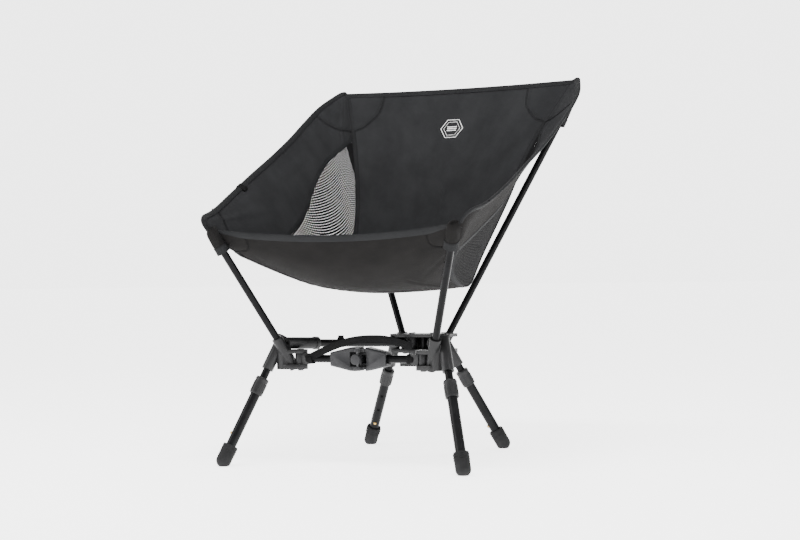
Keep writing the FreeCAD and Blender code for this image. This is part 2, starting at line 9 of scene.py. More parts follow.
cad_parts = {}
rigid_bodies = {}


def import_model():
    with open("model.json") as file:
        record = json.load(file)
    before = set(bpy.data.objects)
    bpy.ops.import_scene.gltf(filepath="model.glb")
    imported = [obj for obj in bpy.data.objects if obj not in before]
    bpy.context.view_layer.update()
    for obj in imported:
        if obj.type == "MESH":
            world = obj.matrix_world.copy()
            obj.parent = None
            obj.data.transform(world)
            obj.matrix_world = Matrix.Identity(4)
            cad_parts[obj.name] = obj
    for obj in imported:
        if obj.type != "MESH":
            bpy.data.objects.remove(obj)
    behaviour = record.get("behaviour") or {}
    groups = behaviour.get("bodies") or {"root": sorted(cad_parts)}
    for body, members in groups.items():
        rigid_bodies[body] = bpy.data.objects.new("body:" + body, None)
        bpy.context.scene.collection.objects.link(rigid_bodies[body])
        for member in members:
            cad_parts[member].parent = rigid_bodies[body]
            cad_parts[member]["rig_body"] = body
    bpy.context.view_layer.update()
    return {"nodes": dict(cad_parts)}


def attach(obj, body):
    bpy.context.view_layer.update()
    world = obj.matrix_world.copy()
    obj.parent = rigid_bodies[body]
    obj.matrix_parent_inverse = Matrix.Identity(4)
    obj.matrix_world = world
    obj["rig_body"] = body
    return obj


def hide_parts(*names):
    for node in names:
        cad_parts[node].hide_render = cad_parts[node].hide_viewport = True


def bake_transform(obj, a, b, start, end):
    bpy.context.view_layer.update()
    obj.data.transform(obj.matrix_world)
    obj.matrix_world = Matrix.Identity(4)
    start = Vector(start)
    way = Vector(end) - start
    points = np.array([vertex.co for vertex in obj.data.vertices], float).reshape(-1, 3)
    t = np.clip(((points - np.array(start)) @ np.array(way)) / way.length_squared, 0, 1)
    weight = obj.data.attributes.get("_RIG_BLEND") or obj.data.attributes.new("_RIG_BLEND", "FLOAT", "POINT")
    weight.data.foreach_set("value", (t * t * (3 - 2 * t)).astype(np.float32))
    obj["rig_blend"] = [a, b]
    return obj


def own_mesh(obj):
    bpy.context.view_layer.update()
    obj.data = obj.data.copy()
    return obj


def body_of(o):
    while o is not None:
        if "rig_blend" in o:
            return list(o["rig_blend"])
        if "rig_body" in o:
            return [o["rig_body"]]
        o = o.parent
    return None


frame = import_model()
NODES = frame["nodes"]

# Left and right are as seen from the chair's front, so right is +X.
# Places are in millimetres from a datum near the rear hinge pins, DEPTH behind the frame's origin.
DEPTH = 107.95
SIDES = (("left", -1), ("right", 1))


def place(x, y, z):
    return Vector((x, y + DEPTH, z)) / 1000


# ---- the sling's shape ----
# from the front edge to the top edge: rim x, y, z, side seam x, y, z, middle y, z
STATIONS = np.array([
    (257, -403, 440, 242, -393, 419, -371, 403),
    (265, -335, 454, 214, -342, 379, -350, 351),
    (273, -250, 489, 176, -272, 346, -288, 314),
    (277, -165, 528, 151, -190, 322, -205, 304),
    (280, -80, 566, 137, -102, 314, -112, 305),
    (281, 0, 606, 138, -34, 370, -26, 352),
    (282, 70, 645, 158, 40, 464, 50, 446),
    (277, 130, 680, 190, 100, 576, 114, 570),
    (255, 197, 717, 246, 186, 707, 182, 703),
], float)
SEAM = 0.55                             # v of the side seam: v is 0 in the middle and 1 at the rim
HOLLOW = 17.0                           # how far the side panels bow between seam and rim, mm
BOW_TOWARDS = np.array([-0.7, -0.2, 0.7])
CORNER_U = 0.060                        # this close to each end, the rows of the sling are finer
CORNER_FRONT, CORNER_BACK = (30.0, 80.0), (13.0, 42.0)  # radii: across in mm, along by U_MM
HALF_FRONT, HALF_BACK = 300.0, 246.0    # from the middle to the side seam at each end, roughly, mm
NET_U, NET_V = 0.0078, 0.0086           # pitch of the net's hexagons along u and across
NET_MARGIN = 0.006                      # how far the net runs under the window's edges, in v
NET_SPAN = 0.28                         # wider than the window anywhere, in v
YARN, YARN_THICK = 0.92, 0.9            # width of a yarn in hexagon pitches, thickness in mm
SEAM_TAPE_IN, WINDOW_TAPE_OUT = 0.011, 0.0085   # the tapes' middles from their edges, in v
U_MM, V_MM = 1080.0, 500.0              # nominal size of u and v, above the real 830 and 260-430
SHEET = 0.55                            # half the fabric's thickness, mm
PATCH = 1.15                            # how far a corner patch stands off on each side, mm
TAPE_STEP, STITCH_STEP = 0.005, 0.0034  # spacing along tapes and between stitches, m
STITCH_LONG, STITCH_WIDE = 0.00115, 0.00034     # half sizes of a stitch, m
RIPPLE = 0.9                            # slow waves over the whole sling, mm
SHOULDER, SHOULDER_AT = 0.55, 1.9       # raised bank beside a crease: share of depth, widths away

# soft creases: u, v at each end, width by U_MM and V_MM, depth in mm
CREASES = (
    (0.835, 0.030, 0.735, 0.062, 3.5, 0.9),
    (0.60, -0.10, 0.66, 0.14, 16.0, 1.2),
    (0.52, -0.44, 0.60, -0.20, 9.0, 1.3),
    (0.52, 0.44, 0.60, 0.20, 9.0, 1.3),
    (0.06, -0.72, 0.24, -0.60, 9.0, 1.6),
    (0.06, 0.72, 0.24, 0.60, 9.0, 1.6),
    (0.09, -0.88, 0.34, -0.84, 10.0, 1.4),
    (0.09, 0.88, 0.34, 0.84, 10.0, 1.4),
    (0.05, -0.62, 0.30, -0.30, 8.0, 1.8),
    (0.05, 0.62, 0.28, 0.36, 8.0, 1.5),
    (0.20, -0.42, 0.37, -0.34, 6.0, 3.2),
    (0.26, -0.20, 0.40, -0.28, 7.0, 2.6),
    (0.24, 0.30, 0.42, 0.46, 6.0, 3.0),
    (0.33, 0.05, 0.43, 0.22, 8.0, 2.4),
    (0.97, -0.82, 0.80, -0.66, 7.0, 1.0),
    (0.97, 0.82, 0.80, 0.66, 7.0, 1.0),
    (0.70, 0.90, 0.52, 0.93, 7.0, 1.0),
    (0.66, -0.91, 0.46, -0.93, 7.0, 1.0),
    (0.985, -0.30, 0.90, -0.12, 9.0, 0.8),
    (0.985, 0.28, 0.91, 0.16, 9.0, 0.8),
)


def catmull(rows, places):
    """Smooth values between evenly spaced rows, at places from 0 to 1."""
    x = np.clip(places, 0, 1) * (len(rows) - 1)
    i = np.minimum(x.astype(int), len(rows) - 2)
    t = (x - i)[..., None]
    low, high = rows[i], rows[i + 1]
    slope_low = (high - rows[np.maximum(i - 1, 0)]) / 2
    slope_high = (rows[np.minimum(i + 2, len(rows) - 1)] - low) / 2
    return (
        (2 * t**3 - 3 * t**2 + 1) * low + (t**3 - 2 * t**2 + t) * slope_low
        + (3 * t**2 - 2 * t**3) * high + (t**3 - t**2) * slope_high
    )


SIDE_FRONT = np.linalg.norm(STATIONS[0, 3:6] - STATIONS[0, 0:3])
SIDE_BACK = np.linalg.norm(STATIONS[-1, 3:6] - STATIONS[-1, 0:3])


def rounded(u, v):
    """Places moved inward near the four corners, so that the outline is rounded."""
    w = np.abs(v)
    for end, (across, along), side, middle in (
        (0, CORNER_FRONT, SIDE_FRONT, HALF_FRONT), (1, CORNER_BACK, SIDE_BACK, HALF_BACK),
    ):
        b = np.abs(u - end) * U_MM
        a = np.where(w > SEAM, (1 - w) / (1 - SEAM) * side, side + (SEAM - w) / SEAM * middle)
        near = (a < across) & (b < along)
        x, y = np.clip(1 - a / across, 0, 1), np.clip(1 - b / along, 0, 1)
        a = across * (1 - x * np.sqrt(1 - y * y / 2))
        b = along * (1 - y * np.sqrt(1 - x * x / 2))
        moved = np.where(a < side, 1 - a / side * (1 - SEAM), SEAM - (a - side) / middle * SEAM)
        w = np.where(near, moved, w)
        u = np.where(near, np.abs(end - b / U_MM), u)
    return u, np.where(v < 0, -w, w)


def bare_sling(u, v):
    """Points of the sling in mm, without its creases and thickness."""
    u, v = rounded(np.asarray(u, float), np.asarray(v, float))
    q = catmull(STATIONS, u)
    rim, seam, mid = q[..., 0:3], q[..., 3:6], q[..., 6:8]
    side = np.where(v < 0, -1.0, 1.0)
    w = np.abs(v)
    k = (np.minimum(w, SEAM) / SEAM)[..., None]
    inner = np.concatenate([seam[..., :1] * k, mid + (seam[..., 1:] - mid) * k * k], -1)
    t = (np.maximum(w - SEAM, 0) / (1 - SEAM))[..., None]
    pull = HOLLOW * np.sin(np.pi * np.clip(u, 0, 1))[..., None] * 4 * t * (1 - t)
    outer = seam + (rim - seam) * t + pull * BOW_TOWARDS
    p = np.where((w <= SEAM)[..., None], inner, outer)
    p[..., 0] *= side
    return p


def fold_depth(u, v):
    """Height of ripples and creases in mm, on the side away from the sitter."""
    depth = RIPPLE * np.sin(9 * u + 3.1 * v) * np.sin(5.3 * v + 0.7) * np.sin(np.pi * np.clip(u, 0, 1))
    for u0, v0, u1, v1, width, deep in CREASES:
        a = np.array([u0 * U_MM, v0 * V_MM])
        d = np.array([u1 * U_MM, v1 * V_MM]) - a
        x, y = u * U_MM - a[0], v * V_MM - a[1]
        t = np.clip((x * d[0] + y * d[1]) / (d @ d), 0, 1)
        away = np.hypot(x - t * d[0], y - t * d[1]) / width
        groove = np.exp(-away**2) - SHOULDER * np.exp(-((away - SHOULDER_AT) ** 2))
        depth = depth - deep * np.sin(np.pi * (0.08 + 0.84 * t)) * groove
    return depth


def sling(u, v, lift=0.0):
    """Points of the sling in metres, lifted by lift mm on the side away from the sitter."""
    u, v = np.broadcast_arrays(np.asarray(u, float), np.asarray(v, float))
    e = 0.004
    du = bare_sling(np.minimum(u + e, 1), v) - bare_sling(np.maximum(u - e, 0), v)
    upper = np.where(v < 0, np.minimum(v + e, -1e-9), v + e)
    lower = np.where(v < 0, v - e, np.maximum(v - e, 0))
    dv = bare_sling(u, upper) - bare_sling(u, lower)
    n = np.cross(du, dv)
    n /= np.linalg.norm(n, axis=-1, keepdims=True)
    p = bare_sling(u, v) + n * (fold_depth(u, v) + np.asarray(lift, float))[..., None]
    p[..., 1] += DEPTH
    return p / 1000


# the net window's outer edge, as (u, v)
WINDOW_FRONT, WINDOW_BACK = 0.17, 0.908
WINDOW = np.array([
    (0.17, 0.552), (0.22, 0.615), (0.30, 0.675), (0.376, 0.718), (0.452, 0.759), (0.514, 0.786),
    (0.56, 0.806), (0.607, 0.816), (0.657, 0.819), (0.718, 0.806), (0.788, 0.762), (0.86, 0.675),
    (0.908, 0.552),
])


def window_v(u):
    """The net window's outer edge: SEAM where there is no window."""
    return np.where((u > WINDOW_FRONT) & (u < WINDOW_BACK), np.interp(u, WINDOW[:, 0], WINDOW[:, 1]), SEAM)


# ---- mesh helpers ----
def new_mesh(name, points, faces, uvs=None, second=None, smooth=True):
    """An object in the scene; second says which faces take its second material."""
    mesh = bpy.data.meshes.new(name)
    mesh.from_pydata([tuple(p) for p in points], [], [tuple(f) for f in faces])
    mesh.update()
    if uvs is not None:
        layer = mesh.uv_layers.new(name="UVMap")
        index = np.empty(len(mesh.loops), int)
        mesh.loops.foreach_get("vertex_index", index)
        layer.data.foreach_set("uv", np.asarray(uvs, np.float32)[index].ravel())
    if second is not None:
        mesh.polygons.foreach_set("material_index", np.asarray(second, np.int32))
    if smooth:
        mesh.shade_smooth()
    obj = bpy.data.objects.new(name, mesh)
    bpy.context.scene.collection.objects.link(obj)
    return obj


def paint(obj, *materials):
    """Materials set without losing which faces take the second one."""
    index = np.empty(len(obj.data.polygons), np.int32)
    obj.data.polygons.foreach_get("material_index", index)
    obj.data.materials.clear()
    for m in materials:
        obj.data.materials.append(m)
    obj.data.polygons.foreach_set("material_index", np.minimum(index, len(materials) - 1))
    return obj


def sharp_edges(obj, degrees):
    obj.data.set_sharp_from_angle(angle=math.radians(degrees))
    return obj


def slab(name, u, v, low, high):
    """A layer of fabric over a grid of (u, v), from low to high mm off the sling's middle."""
    n, m = u.shape
    inner, outer = sling(u, v, low).reshape(-1, 3), sling(u, v, high).reshape(-1, 3)
    uv = np.stack([v * V_MM, u * U_MM], -1).reshape(-1, 2) / 1000
    k = n * m
    at = np.arange(k).reshape(n, m)
    a, b, c, d = (x.ravel() for x in (at[:-1, :-1], at[1:, :-1], at[1:, 1:], at[:-1, 1:]))
    inner_faces, outer_faces = np.stack([d, c, b, a], 1), np.stack([a, b, c, d], 1) + k
    ring = np.concatenate([at[0, :-1], at[:-1, -1], at[-1, :0:-1], at[:0:-1, 0]])
    nxt = np.roll(ring, -1)
    edge_faces = np.stack([ring, nxt, nxt + k, ring + k], 1)
    if v.mean() < 0:
        inner_faces, outer_faces, edge_faces = inner_faces[:, ::-1], outer_faces[:, ::-1], edge_faces[:, ::-1]
    faces = np.concatenate([inner_faces, outer_faces, edge_faces])
    second = np.ones(len(faces), int)
    second[:len(inner_faces)] = 0
    obj = new_mesh(name, np.concatenate([inner, outer]), faces, np.concatenate([uv, uv]), second)
    return sharp_edges(obj, 50)


def along_path(u, v, step):
    """Even steps along a line on the sling: points, directions, sideways and outward vectors."""
    fine = np.linspace(0, 1, 1200)
    knots = np.linspace(0, 1, len(u))
    uu, vv = np.interp(fine, knots, u), np.interp(fine, knots, v)
    p = sling(uu, vv)
    run = np.concatenate([[0], np.cumsum(np.linalg.norm(np.diff(p, axis=0), axis=1))])
    count = max(int(run[-1] / step), 2)
    s = np.linspace(0, run[-1], count + 1)
    uu, vv = np.interp(s, run, uu), np.interp(s, run, vv)
    p = sling(uu, vv)
    normal = sling(uu, vv, 1.0) - p
    normal /= np.linalg.norm(normal, axis=1, keepdims=True)
    tangent = np.gradient(p, axis=0)
    tangent /= np.linalg.norm(tangent, axis=1, keepdims=True)
    side = np.cross(normal, tangent)
    side /= np.linalg.norm(side, axis=1, keepdims=True)
    return p, tangent, side, normal


def swept(name, path, profile):
    """A closed profile of (sideways, outward) mm swept along a path."""
    p, _, side, normal = path
    n, m = len(p), len(profile)
    profile = np.asarray(profile, float) / 1000
    points = p[:, None] + (side[:, None] * profile[None, :, 0:1] + normal[:, None] * profile[None, :, 1:2])
    at = np.arange(n * m).reshape(n, m)
    faces = [
        (at[i, j], at[i, (j + 1) % m], at[i + 1, (j + 1) % m], at[i + 1, j])
        for i in range(n - 1) for j in range(m)
    ]
    faces += [tuple(at[0, ::-1]), tuple(at[-1])]
    run = np.concatenate([[0], np.cumsum(np.linalg.norm(np.diff(p, axis=0), axis=1))])
    around = np.concatenate([[0], np.cumsum(np.hypot(*np.diff(profile, axis=0).T))])
    uv = np.stack(np.broadcast_arrays(around[None, :], run[:, None]), -1).reshape(-1, 2)
    obj = new_mesh(name, points.reshape(-1, 3), faces, uv)
    return sharp_edges(obj, 45)


# a stitch's outline where it leaves the cloth and at its top, as shares of its half sizes
STITCH_EDGE = ((-1, -1), (1, -1), (1, 1), (-1, 1))
STITCH_TOP = ((-0.5, -0.8), (0.5, -0.8), (0.5, 0.8), (-0.5, 0.8))


def stitches(path_parts, name):
    """Threads along paths, each part (path, sideways mm, half height mm), that show on both faces."""
    points, faces = [], []
    for (p, tangent, side, normal), offset, half in path_parts:
        for i in range(len(p)):
            c = p[i] + side[i] * offset / 1000
            t, s, n = tangent[i] * STITCH_LONG, side[i] * STITCH_WIDE, normal[i] * half / 1000
            base = len(points)
            for face in (1, -1):
                for outline, level in ((STITCH_EDGE, 0.8), (STITCH_TOP, 1)):
                    points += [c + t * a + s * b + n * (face * level) for a, b in outline]
            for k in range(4):
                q = (k + 1) % 4
                faces.append((base + k, base + q, base + 4 + q, base + 4 + k))
                faces.append((base + 12 + k, base + 12 + q, base + 8 + q, base + 8 + k))
                faces.append((base + 8 + k, base + 8 + q, base + q, base + k))
            faces.append((base + 4, base + 5, base + 6, base + 7))
            faces.append((base + 15, base + 14, base + 13, base + 12))
    return new_mesh(name, points, faces, smooth=False)


def apply_modifiers(obj):
    dg = bpy.context.evaluated_depsgraph_get()
    dg.update()
    mesh = bpy.data.meshes.new_from_object(obj.evaluated_get(dg))
    obj.modifiers.clear()
    obj.data = mesh


# ---- materials ----
def material(name, color, roughness, metallic=0.0, specular=0.5):
    """A new material, its node tree and its shader."""
    m = bpy.data.materials.new(name)
    m.use_nodes = True
    b = m.node_tree.nodes["Principled BSDF"]
    b.inputs["Base Color"].default_value = (*color, 1)
    b.inputs["Roughness"].default_value = roughness
    b.inputs["Metallic"].default_value = metallic
    b.inputs["Specular IOR Level"].default_value = specular
    return m, m.node_tree, b


def node(tree, kind, **values):
    n = tree.nodes.new(kind)
    for key, value in values.items():
        if key in n.inputs.keys():
            n.inputs[key].default_value = value
        else:
            setattr(n, key, value)
    return n


def mottled(tree, b, low, high, scale, source, detail=3.0):
    """Base colour that wanders between two shades."""
    noise = node(tree, "ShaderNodeTexNoise", Scale=scale, Detail=detail, Roughness=0.6)
    tree.links.new(source, noise.inputs["Vector"])
    ramp = tree.nodes.new("ShaderNodeValToRGB")
    ramp.color_ramp.elements[0].position, ramp.color_ramp.elements[1].position = 0.34, 0.68
    ramp.color_ramp.elements[0].color, ramp.color_ramp.elements[1].color = (*low, 1), (*high, 1)
    tree.links.new(noise.outputs["Fac"], ramp.inputs["Fac"])
    tree.links.new(ramp.outputs["Color"], b.inputs["Base Color"])
    return ramp


def bumped(tree, b, height, strength, distance, below=None):
    bump = node(tree, "ShaderNodeBump", Strength=strength, Distance=distance)
    tree.links.new(height, bump.inputs["Height"])
    if below is not None:
        tree.links.new(below.outputs["Normal"], bump.inputs["Normal"])
    tree.links.new(bump.outputs["Normal"], b.inputs["Normal"])
    return bump


def woven(name, low, high, pitch, roughness=0.88):
    """Plain weave: warp and weft threads that pass over and under in turn."""
    m, tree, b = material(name, low, roughness, specular=0.06)
    coord = tree.nodes.new("ShaderNodeTexCoord")
    scaled = node(tree, "ShaderNodeVectorMath", operation="SCALE", Scale=math.pi / pitch)
    tree.links.new(coord.outputs["UV"], scaled.inputs[0])
    parts = node(tree, "ShaderNodeSeparateXYZ")
    tree.links.new(scaled.outputs[0], parts.inputs[0])
    sines = []
    for axis in ("X", "Y"):
        s = node(tree, "ShaderNodeMath", operation="SINE")
        tree.links.new(parts.outputs[axis], s.inputs[0])
        sines.append(s)
    cross = node(tree, "ShaderNodeMath", operation="MULTIPLY")
    tree.links.new(sines[0].outputs[0], cross.inputs[0])
    tree.links.new(sines[1].outputs[0], cross.inputs[1])
    height = node(tree, "ShaderNodeMath", operation="ABSOLUTE")
    tree.links.new(cross.outputs[0], height.inputs[0])
    slub = node(tree, "ShaderNodeTexNoise", Scale=420.0, Detail=2.0)
    tree.links.new(coord.outputs["UV"], slub.inputs["Vector"])
    total = node(tree, "ShaderNodeMath", operation="ADD")
    tree.links.new(height.outputs[0], total.inputs[0])
    tree.links.new(slub.outputs["Fac"], total.inputs[1])
    cloud = node(tree, "ShaderNodeTexNoise", Scale=9.0, Detail=5.0, Roughness=0.6)
    tree.links.new(coord.outputs["UV"], cloud.inputs["Vector"])
    soft = bumped(tree, b, cloud.outputs["Fac"], 0.35, 0.004)
    bumped(tree, b, total.outputs[0], 0.45, pitch * 0.35, soft)
    ramp = mottled(tree, b, low, high, 14.0, coord.outputs["UV"], 6.0)
    # painted shade: the base colour is darkened by up to 30 % where the weave's height is low, in the dips
    # between the threads
    painted_weave_shade = node(tree, "ShaderNodeMix", data_type="RGBA", blend_type="MULTIPLY")
    painted_weave_shade.inputs["Factor"].default_value = 0.30
    tree.links.new(ramp.outputs["Color"], painted_weave_shade.inputs[6])
    tree.links.new(height.outputs[0], painted_weave_shade.inputs[7])
    tree.links.new(painted_weave_shade.outputs[2], b.inputs["Base Color"])
    return m


MOTTLE = 40.0   # scale of the slow change of shade on hard surfaces


def rough_surface(name, low, high, roughness, grain, depth, specular=0.5, metallic=0.0):
    """Moulded, painted or anodised surface with fine grain in its height and its gloss."""
    m, tree, b = material(name, low, roughness, metallic, specular)
    coord = tree.nodes.new("ShaderNodeTexCoord")
    mottled(tree, b, low, high, MOTTLE, coord.outputs["Object"])
    noise = node(tree, "ShaderNodeTexNoise", Scale=grain, Detail=4.0, Roughness=0.65)
    tree.links.new(coord.outputs["Object"], noise.inputs["Vector"])
    bumped(tree, b, noise.outputs["Fac"], 0.5, depth)
    wear = node(tree, "ShaderNodeTexNoise", Scale=MOTTLE * 2.5, Detail=6.0, Roughness=0.7)
    tree.links.new(coord.outputs["Object"], wear.inputs["Vector"])
    spread = node(tree, "ShaderNodeMapRange")
    spread.inputs["From Min"].default_value, spread.inputs["From Max"].default_value = 0.3, 0.75
    spread.inputs["To Min"].default_value = roughness * 0.8
    spread.inputs["To Max"].default_value = min(roughness * 1.35, 1)
    tree.links.new(wear.outputs["Fac"], spread.inputs["Value"])
    tree.links.new(spread.outputs["Result"], b.inputs["Roughness"])
    return m


FABRIC = woven("fabric_face", (0.0185, 0.0188, 0.0199), (0.0250, 0.0254, 0.0268), 0.0011)
FABRIC_BACK = woven("fabric_back", (0.0089, 0.0085, 0.0083), (0.0125, 0.0118, 0.0116), 0.0011)
BINDING = woven("binding_tape", (0.0130, 0.0133, 0.0140), (0.0180, 0.0184, 0.0193), 0.0008, 0.75)
NET = woven("net_yarn", (0.0055, 0.0055, 0.0058), (0.0090, 0.0090, 0.0093), 0.0009, 0.75)
# near-black stitch colour: partly the thread's own black and partly painted shade along the seams and the rim's
# hem step; the same colour also paints the shade inside the hub bolts' hexagon sockets and the cover screws'
# cross recesses
THREAD_AND_SHADE = material("thread_and_painted_shade", (0.004, 0.004, 0.0043), 0.6, specular=0.08)[0]
WEBBING = woven("webbing", (0.0045, 0.0045, 0.0047), (0.0075, 0.0075, 0.0078), 0.0014, 0.75)
PRINT = material("print_white", (0.80, 0.80, 0.79), 0.6)[0]
TUBE = rough_surface(
    "anodised_tube", (0.0022, 0.0022, 0.0025), (0.0045, 0.0045, 0.005), 0.28, 900, 0.00002, 0.07)
LEG_TUBE = rough_surface(
    "anodised_leg", (0.0032, 0.0032, 0.0036), (0.0065, 0.0065, 0.007), 0.30, 900, 0.00002, 0.09)
PLASTIC = rough_surface(
    "moulded_plastic", (0.0068, 0.0068, 0.0072), (0.0105, 0.0105, 0.0111), 0.42, 1500, 0.00005, 0.22)
JOINT_PLASTIC = rough_surface(
    "joint_plastic", (0.0155, 0.0155, 0.0168), (0.0210, 0.0210, 0.0226), 0.46, 1500, 0.00005, 0.2)
RUBBER = rough_surface("foot_rubber", (0.011, 0.011, 0.0113), (0.018, 0.018, 0.0185), 0.66, 700, 0.0001, 0.08)
BRASS = rough_surface(
    "snap_button", (0.46, 0.30, 0.10), (0.54, 0.36, 0.13), 0.28, 900, 0.00003, metallic=1.0)
STEEL = rough_surface(
    "steel_black", (0.05, 0.05, 0.052), (0.08, 0.08, 0.082), 0.28, 900, 0.00003, metallic=0.9)


# ---- the sling in two halves, each following one arm ----
def with_arm(obj, word):
    s = -1 if word == "left" else 1
    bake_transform(obj, "rear_frame", f"arm_{word}", start=place(0, -371, 400), end=place(s * 215.7, -464, 400))
    return obj


def flat_area(u, v):
    """The real area of a piece cut to this grid of (u, v), in square metres."""
    p = sling(u, v)
    a, b = p[1:, 1:] - p[:-1, :-1], p[1:, :-1] - p[:-1, 1:]
    return round(float(np.linalg.norm(np.cross(a, b), axis=-1).sum() / 2), 4)


# inner edges of the corner patches, as (v, u)
REAR_PATCH = np.array([
    (0.355, 1.0), (0.372, 0.965), (0.398, 0.947), (0.477, 0.926), (0.60, 0.913), (0.70, 0.893),
    (0.80, 0.862), (0.90, 0.832), (1.0, 0.815),
])
FRONT_PATCH = np.array([
    (0.40, 0.0), (0.402, 0.03), (0.41, 0.06), (0.44, 0.085), (0.50, 0.10), (0.60, 0.112),
    (0.70, 0.12), (0.80, 0.128), (0.90, 0.136), (1.0, 0.140),
])
POCKET_FULLNESS = 6.0   # how far the front corner patches bulge below, mm

# tape and rim sections, as (sideways, outward) in mm
FLAT_BAND = [
    (-4.6, -0.9), (-4.2, -1.15), (4.2, -1.15), (4.6, -0.9),
    (4.6, 0.9), (4.2, 1.15), (-4.2, 1.15), (-4.6, 0.9),
]
RIM = [
    (-10.4, -0.6), (-10.2, -1.9), (-8.6, -2.5), (-4.5, -2.9), (-0.8, -2.5), (1.2, -1.5), (1.8, 0),
    (1.2, 1.5), (-0.8, 2.5), (-4.5, 2.9), (-8.6, 2.5), (-10.2, 1.9), (-10.4, 0.6),
]
HEXAGON = ((0, 2 / 3), (1 / 2, 1 / 3), (1 / 2, -1 / 3), (0, -2 / 3), (-1 / 2, -1 / 3), (-1 / 2, 1 / 3))


def corner_patch(name, line, s, front):
    """A patch from its inner edge to the sling's end, and that edge as u and v."""
    share = np.linspace(line[0, 0], 1, 34)
    edge = np.interp(share, line[:, 0], line[:, 1])
    t = np.linspace(0, 1, 26)
    end = 0.001 if front else 0.999
    u = edge[:, None] + (end - edge[:, None]) * t[None, :]
    v = np.broadcast_to(s * share[:, None] * 0.995, u.shape)
    if front:
        u, v = u[:, ::-1], v[:, ::-1]
    along = np.sin(np.pi * (share - share[0]) / (1 - share[0]))[:, None]
    full = along * np.sin(np.pi * np.clip(t, 0, 1))[None, :] ** 0.6
    bulge = POCKET_FULLNESS * full if front else 0 * full
    return slab(name, u, v, -PATCH, PATCH + bulge), (edge, s * share)


for word, s in SIDES:
    rows = np.concatenate([
        np.linspace(0, CORNER_U, 22)[:-1], np.linspace(CORNER_U, 1 - CORNER_U, 180),
        np.linspace(1 - CORNER_U, 1, 22)[1:],
    ])
    u, k = np.meshgrid(rows, np.linspace(0, 1, 40), indexing="ij")
    centre = slab(f"sling_centre_{word}", u, s * SEAM * k, -SHEET, SHEET)
    centre_area = flat_area(u, s * SEAM * k)
    rows = np.unique(np.concatenate([rows, WINDOW[:, 0]]))
    u, k = np.meshgrid(rows, np.linspace(0, 1, 44), indexing="ij")
    low = window_v(u)
    panel = slab(f"sling_side_{word}", u, s * (low + (1 - low) * k), -SHEET, SHEET)
    panel_area = flat_area(u, s * (low + (1 - low) * k))
    net_area = flat_area(u, s * (SEAM + (low - SEAM) * k))

    # net: flat hexagons over the window, made into yarns and laid on the sling
    points, faces, known = [], [], {}
    across_grain = s > 0
    count_u, count_v = int((WINDOW_BACK - WINDOW_FRONT) / NET_U) + 2, int(NET_SPAN / NET_V) + 2
    for i in range(count_v if across_grain else count_u):
        for j in range(count_u if across_grain else count_v):
            first, second = (j + (i % 2) / 2, i) if across_grain else (i, j + (i % 2) / 2)
            cu, cv = WINDOW_FRONT + first * NET_U, SEAM - NET_MARGIN + second * NET_V
            if not WINDOW_FRONT < cu < WINDOW_BACK or cv > window_v(np.array(cu)) + NET_MARGIN:
                continue
            face = []
            for a, b in HEXAGON:
                x, y = (first + a, second + b) if across_grain else (first + b, second + a)
                q = (WINDOW_FRONT + x * NET_U, SEAM - NET_MARGIN + y * NET_V)
                key = (round(x * 12), round(y * 12))
                if key not in known:
                    known[key] = len(points)
                    points.append((q[1] / NET_V, q[0] / NET_U, 0))
                face.append(known[key])
            faces.append(face)
    net = new_mesh(f"net_{word}", points, faces, [p[:2] for p in points], smooth=False)
    wires = net.modifiers.new("yarns", "WIREFRAME")
    wires.thickness, wires.use_even_offset, wires.use_boundary = YARN, False, True
    apply_modifiers(net)
    co = np.array([v.co for v in net.data.vertices], float)
    laid = sling(co[:, 1] * NET_U, s * co[:, 0] * NET_V, co[:, 2] / YARN * YARN_THICK)
    net.data.vertices.foreach_set("co", laid.astype(np.float32).ravel())
    net.data.flip_normals()
    net.data.update()

    # rim, seam tape and window tape
    inward = -s
    ends, along = np.linspace(0, 1, 40), np.linspace(0, 1, 240)
    rim_u = np.concatenate([0 * ends, along[1:-1], 0 * ends + 1])
    rim_v = s * np.concatenate([ends, 0 * along[1:-1] + 1, ends[::-1]])
    rim = swept(f"rim_{word}", along_path(rim_u, rim_v, TAPE_STEP), [(s * x, y) for x, y in RIM][::s])
    seam_u = np.linspace(0.004, 0.996, 200)
    seam_v = s * (SEAM - SEAM_TAPE_IN) * np.ones(200)
    seam = swept(f"seam_tape_{word}", along_path(seam_u, seam_v, TAPE_STEP), FLAT_BAND)
    edge_u = np.linspace(WINDOW_FRONT - 0.002, WINDOW_BACK + 0.002, 160)
    edge_v = s * (np.maximum(window_v(edge_u), SEAM) + WINDOW_TAPE_OUT)
    window = swept(f"window_tape_{word}", along_path(edge_u, edge_v, TAPE_STEP), FLAT_BAND)
    rear, rear_edge = corner_patch(f"rear_patch_{word}", REAR_PATCH, s, False)
    front, front_edge = corner_patch(f"front_patch_{word}", FRONT_PATCH, s, True)

    # stitch rows along each of them
    rim_row = along_path(rim_u, rim_v, STITCH_STEP)
    tape_rows = [along_path(seam_u, seam_v, STITCH_STEP), along_path(edge_u, edge_v, STITCH_STEP)]
    patch_rows = [along_path(*rear_edge, STITCH_STEP), along_path(*front_edge, STITCH_STEP)]
    sewing = stitches([
        (rim_row, inward * 8.0, 2.0), (rim_row, inward * 1.6, 2.05),
        *((row, offset, 1.3) for row in tape_rows for offset in (-3.3, 3.3)),
        *((row, offset, 1.35) for row in patch_rows for offset in (-2.0, -4.6, 2.0, 4.6)),
    ], f"stitching_{word}")

    for obj in (centre, panel, rear, front):
        paint(obj, FABRIC, FABRIC_BACK)
    for obj in (rim, seam, window):
        paint(obj, BINDING)
    paint(net, NET)
    paint(sewing, THREAD_AND_SHADE)
    for obj in (centre, panel, rim, seam, window, rear, front, sewing):
        with_arm(obj, word)
    with_arm(net, word)
    if s > 0:
        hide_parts("seat_base", "seat_back")
    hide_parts(f"seat_side_{word}")

